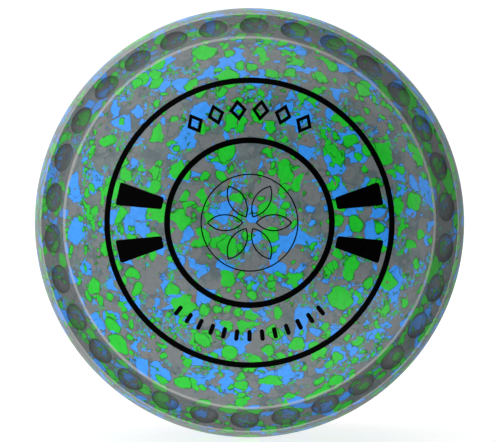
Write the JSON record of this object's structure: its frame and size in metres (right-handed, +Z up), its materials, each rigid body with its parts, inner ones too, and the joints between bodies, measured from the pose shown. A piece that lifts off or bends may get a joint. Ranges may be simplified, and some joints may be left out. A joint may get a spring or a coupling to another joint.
{
  "type": "lawn bowl",
  "caption": "Biased lawn bowl: a solid speckled resin ball with domed sides, a dimpled grip channel on each shoulder and engraved, enamel-filled rings and marks.",
  "frame": {"origin": "The middle of the bowl: on its axis, halfway between the two side flats. The bowl's centre height above the green is its running radius, 62 mm.", "axes": "+Y is the bowl's axis, from the front (the outer side, with the large rings) to the back (the bias side, with the small rings). +Z is up, with the artwork upright. +X is to the right when facing the front."},
  "size_m": [0.124, 0.1086, 0.124],
  "materials": {
    "speckled_resin": "satin-polished resin composite with blue and green chips in grey",
    "black_enamel": "satin black enamel fill"
  },
  "bodies": {
    "root": {"bowl_body": "speckled_resin", "front_outer_ring": "black_enamel", "front_inner_ring": "black_enamel", "front_side_bars": "black_enamel", "front_upper_diamonds": "black_enamel", "front_lower_dashes": "black_enamel", "front_emblem_ring": "black_enamel", "front_emblem_petals": "black_enamel", "back_outer_ring": "black_enamel", "back_inner_ring": "black_enamel", "back_side_bars": "black_enamel", "back_upper_diamonds": "black_enamel", "back_lower_dashes": "black_enamel", "back_emblem_ring": "black_enamel", "back_emblem_petals": "black_enamel"}
  },
  "joints": []
}
